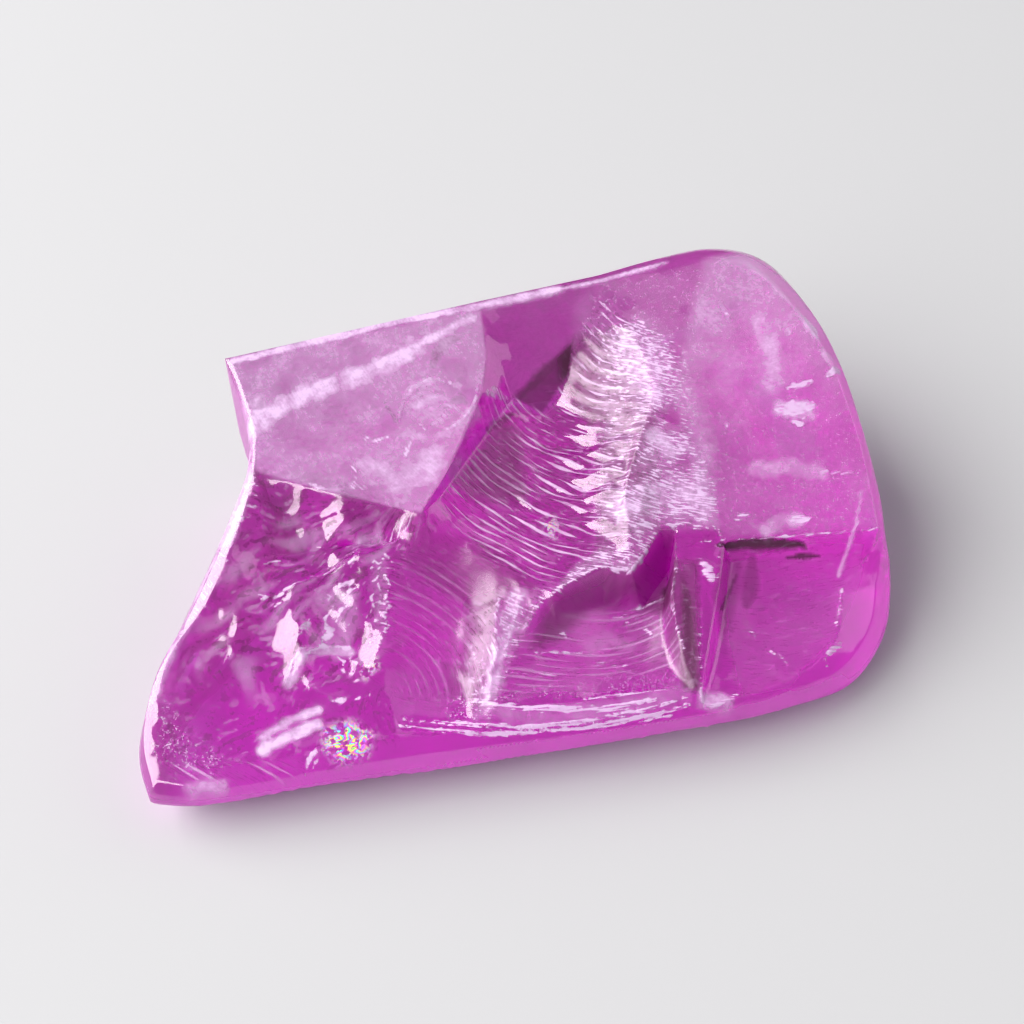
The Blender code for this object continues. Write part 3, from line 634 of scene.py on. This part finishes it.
ragged_edge = cloud(x, y, z, 0.5, 11)
for name, half_width, whiteness, *seen in veils_and_sheens:
    reach, _ = distance_to(outline_of(*seen), x, y)
    reach = reach + 0.4 * half_width * ragged_edge
    inside = (1.0 - ease(reach / half_width, 0.3, 1.4)) * facing_up
    veil_and_painted_sheen = np.maximum(veil_and_painted_sheen, np.minimum(whiteness * blotches, 1.0) * inside)
# how much rougher than glass each place is, and the painted shade that darkens the steep walls and other
# dark places
satin = zones_together(
    (cheek, 0.4, 0.28), (bowl_floor, 0.4, 0.30), (saddle, 0.6, 0.22), (dark_slope, 0.5, 0.2),
    (dark_column, 0.4, 0.3), (column_wall, 0.2, 0.2),
)
satin = satin + 0.2 * ridge + 0.1 * ridge_left + 0.25 * steep + 0.2 * flat + 0.06 * broken_end
shade = zones_together(
    (dark_bowl_wall, 0.35, 0.60), (dark_slope, 0.5, 0.5), (dark_saddle, 0.7, 0.26),
    (dark_saddle_foot, 0.3, 0.2), (dark_shelf_wall, 0.2, 0.35), (dark_left_wall, 0.4, 0.22),
    (column_wall, 0.15, 0.4), (dark_column, 0.2, 0.45), (dark_column_side, 0.3, 0.4),
)
shade = shade + 0.15 * ridge_left + 0.42 * steep + 0.15 * grain + 0.62 * wedge
shade = shade + 0.25 * broken_end * ease(-streaks, 0.15, 0.6)
# how strongly the break's fine facets show as painted glints and painted shade, bright and dark flecks
broken = np.maximum(0.62 * broken_end, 0.4 * toe_share) + 0.2 * zone(saddle, 0.6) + 0.3 * bowl
broken = broken + 0.15 * zone(cheek, 0.4) + 0.3 * zone(dark_column, 0.3) + 0.5 * ribs
broken = broken + 0.8 * np.maximum(hair + middle + low, step) + 0.5 * np.maximum(ridge, ridge_left)
broken = np.clip(broken + 0.1 * on_top, 0.0, 1.0)
jagged = cloud(x, y, z, 0.3, 12)
for name, half_width, whiteness, height, darkness, *seen in marks:
    reach, along = distance_to(outline_of(*seen), x, y)
    reach = np.maximum(reach + 0.05 * jagged, 0.0)
    width = half_width * (0.45 + 0.6 * np.sin(pi * along))
    inside = 1.0 - ease(reach / width, 0.35, 1.5)
    frost = np.maximum(frost, whiteness * inside * facing_up)
    shade = np.maximum(shade, darkness * inside * facing_up)
    lift = lift + height * inside * on_top
rainbow = zones_together((rainbow_low, 0.5, 1.0), (rainbow_high, 0.4, 1.0), (rainbow_band, 0.3, 0.6))
frost = np.clip(frost, 0.0, 1.0)

# the raised places go into the mesh, and none of them goes below the table
place = place + normals * lift[:, None]
place[:, 2] = np.maximum(place[:, 2], 0.0)
for vertex, co in zip(shape.verts, place):
    vertex.co = Vector(co) * mm
stone_mesh = bpy.data.meshes.new("stone")
shape.to_mesh(stone_mesh)
shape.free()
layers = {
    "frost": frost, "veil_and_painted_sheen": veil_and_painted_sheen, "speckle": speckle, "shade": shade, "satin": satin, "skin": skin,
    "under": under, "rainbow": rainbow, "broken": broken, "lines": lines, "ring": ring, "arc": arc,
}
for name, values in layers.items():
    layer = stone_mesh.attributes.new(name, "FLOAT", "POINT")
    layer.data.foreach_set("value", values.astype(np.float32))
stone_mesh.shade_smooth()
stone_mesh.set_sharp_from_angle(angle=sharp_turn)
print("stone triangles", len(stone_mesh.polygons))
stone = bpy.data.objects.new("stone", stone_mesh)
bpy.context.scene.collection.objects.link(stone)


class Value:
    """A socket in a material's tree that sums like a number, a vector or a colour."""

    def __init__(self, tree, socket):
        self.tree = tree
        self.socket = socket

    def node(self, kind, settings=None, output=0, **inputs):
        """A node of a kind, with its settings first, then the values or links of its sockets."""
        made = self.tree.nodes.new(kind)
        for name, value in (settings or {}).items():
            setattr(made, name, value)
        for name, value in inputs.items():
            numbered = name[1:].isdigit()
            socket = made.inputs[int(name[1:]) if numbered else name.replace("_", " ")]
            if isinstance(value, Value):
                self.tree.links.new(value.socket, socket)
            else:
                socket.default_value = value
        return Value(self.tree, made.outputs[output])

    def sum_with(self, operation, first, second):
        many = any(isinstance(v, Value) and v.socket.type != "VALUE" for v in (first, second))
        kind = "ShaderNodeVectorMath" if many else "ShaderNodeMath"
        if many:
            first, second = ((v,) * 3 if isinstance(v, (int, float)) else v for v in (first, second))
        return self.node(kind, {"operation": operation}, _0=first, _1=second)

    def __add__(self, other):
        return self.sum_with("ADD", self, other)

    def __radd__(self, other):
        return self.sum_with("ADD", other, self)

    def __sub__(self, other):
        return self.sum_with("SUBTRACT", self, other)

    def __rsub__(self, other):
        return self.sum_with("SUBTRACT", other, self)

    def __mul__(self, other):
        return self.sum_with("MULTIPLY", self, other)

    def __rmul__(self, other):
        return self.sum_with("MULTIPLY", other, self)

    def __truediv__(self, other):
        return self.sum_with("DIVIDE", self, other)

    def fraction(self):
        return self.node("ShaderNodeMath", {"operation": "FRACT"}, _0=self)

    def whole(self):
        return self.node("ShaderNodeMath", {"operation": "FLOOR"}, _0=self)

    def size(self):
        return self.node("ShaderNodeMath", {"operation": "ABSOLUTE"}, _0=self)

    def at_least(self, other):
        return self.node("ShaderNodeMath", {"operation": "MAXIMUM"}, _0=self, _1=other)

    def eased(self, low, high):
        """0 at low, 1 at high and a smooth step between."""
        return self.node("ShaderNodeMapRange", {"interpolation_type": "SMOOTHSTEP"},
                         Value=self, From_Min=low, From_Max=high)


def blend(share, first, second):
    """A colour between two, by a share that varies over the surface."""
    return share.node("ShaderNodeMix", {"data_type": "RGBA"}, output=2, _0=share, _6=first, _7=second)


material = bpy.data.materials.new("pink_zircon")
material.use_nodes = True
tree = material.node_tree
tree.nodes.clear()
start = Value(tree, None)


def mask(name):
    """One of the mesh's layers."""
    return start.node("ShaderNodeAttribute", {"attribute_name": name}, output=2)


def vector(x, y, z):
    """Three values as one vector."""
    return start.node("ShaderNodeCombineXYZ", X=x, Y=y, Z=z)


def speckled(place, scale, detail, roughness=0.5):
    """Noise from 0 to 1 over a place."""
    return start.node("ShaderNodeTexNoise", Vector=place, Scale=scale, Detail=detail, Roughness=roughness)


place_mm = start.node("ShaderNodeTexCoord", output=3) * 1000.0
fine_noise = speckled(place_mm, 3.4, 2.0, 0.7)
grain_noise = speckled(place_mm, 13.0, 1.0)
turn = mask("ring") + 0.12 * fine_noise
line_strength = mask("lines")
line_number = turn.whole()
line_share = (turn.fraction() - 0.5).size()
line_break = speckled(vector(line_number * 5.3, mask("arc") * 0.55, 0.0), 1.0, 0.0)
line_width = 0.20 * line_break.eased(0.35, 0.70)
line = (line_width - line_share).eased(-0.03, 0.08) * line_strength
fibre = speckled(vector(turn * 2.2, mask("arc") * 0.8, 0.0), 2.0, 1.0)

frost_mask = mask("frost")
skin_mask = mask("skin")
speckle_mask = mask("speckle")
shade_mask = mask("shade")
ragged = frost_mask + 1.2 * (fine_noise - 0.5) + 2.6 * (fibre - 0.5)
crisp_frost = ragged.eased(0.30, 0.90) * frost_mask.eased(0.0, 0.25)
dots = (0.6 * grain_noise + 0.4 * fine_noise).eased(0.52, 0.66) * speckle_mask
facets = 0.6 * fibre + 0.4 * fine_noise
broken_mask = mask("broken")
# bright flecks are painted glints of the fine facets, dark flecks painted shade
bright_flecks = facets.eased(0.54, 0.63) * broken_mask
dark_flecks = (1.0 - facets.eased(0.38, 0.46)) * broken_mask
white_share = crisp_frost * 0.85 + line * 0.8 + dots * 0.6 + bright_flecks * 0.32
# the veil carries real clouding and the painted sheen of the shelf and the broad face
veil_and_sheen_mask = mask("veil_and_painted_sheen")
cloudy_and_sheen = veil_and_sheen_mask * (1.4 * fine_noise + 0.6 * fibre)
white_share = white_share.at_least(cloudy_and_sheen)
white_share = white_share.node("ShaderNodeClamp", Value=white_share, Max=0.95)

rainbow_mask = mask("rainbow")
rainbow_colour = start.node(
    "ShaderNodeCombineColor", {"mode": "HSV"}, Red=(9.0 * fibre).fraction(), Green=0.9, Blue=0.9
)
rainbow_share = fine_noise.eased(0.42, 0.58) * rainbow_mask
pale_share = white_share.at_least(rainbow_share)

# the dull share of the surface: bruised white with painted sheen and glints, worn matt pink, or painted
# shade over the steep walls
worn_pink = (1.0, 0.12, 0.94, 1.0)
painted_shade_dark = (0.06, 0.002, 0.035, 1.0)
# this white also colours the painted sheen, haze and glints
bruised_white_and_sheen = (0.58, 0.40, 0.62, 1.0)
crystal_tint = (0.997, 0.0, 0.982, 1.0)
tint_per_metre = 480.0
zircon_ior = 1.93
dark_share = 1.0 - (1.0 - shade_mask) * (1.0 - 0.65 * dark_flecks)
dull_share = 1.0 - (1.0 - pale_share) * (1.0 - mask("under") - 0.08 * skin_mask) * (1.0 - dark_share)
# worn pink, turning to the painted shade colour where the shade layer is dark
worn_pink_and_painted_shade = blend(dark_share.eased(0.0, 0.15), worn_pink, painted_shade_dark)
pale_colour = blend(rainbow_mask, bruised_white_and_sheen, rainbow_colour)
clear = start.node(
    "ShaderNodeBsdfPrincipled",
    Base_Color=(1.0, 1.0, 1.0, 1.0),
    Roughness=0.03 + 0.35 * skin_mask + 0.25 * frost_mask + mask("satin"),
    IOR=zircon_ior,
    Transmission_Weight=1.0,
)
dull = start.node(
    "ShaderNodeBsdfPrincipled", Base_Color=blend(pale_share / dull_share, worn_pink_and_painted_shade, pale_colour),
    Roughness=0.5, IOR=1.5
)
surface = start.node("ShaderNodeMixShader", _0=dull_share, _1=clear, _2=dull)
depth_tint = start.node("ShaderNodeVolumeAbsorption", Color=crystal_tint, Density=tint_per_metre)
output = tree.nodes.new("ShaderNodeOutputMaterial")
tree.links.new(surface.socket, output.inputs["Surface"])
tree.links.new(depth_tint.socket, output.inputs["Volume"])
stone_mesh.materials.clear()
stone_mesh.materials.append(material)

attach(stone, "root")
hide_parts("zircon")
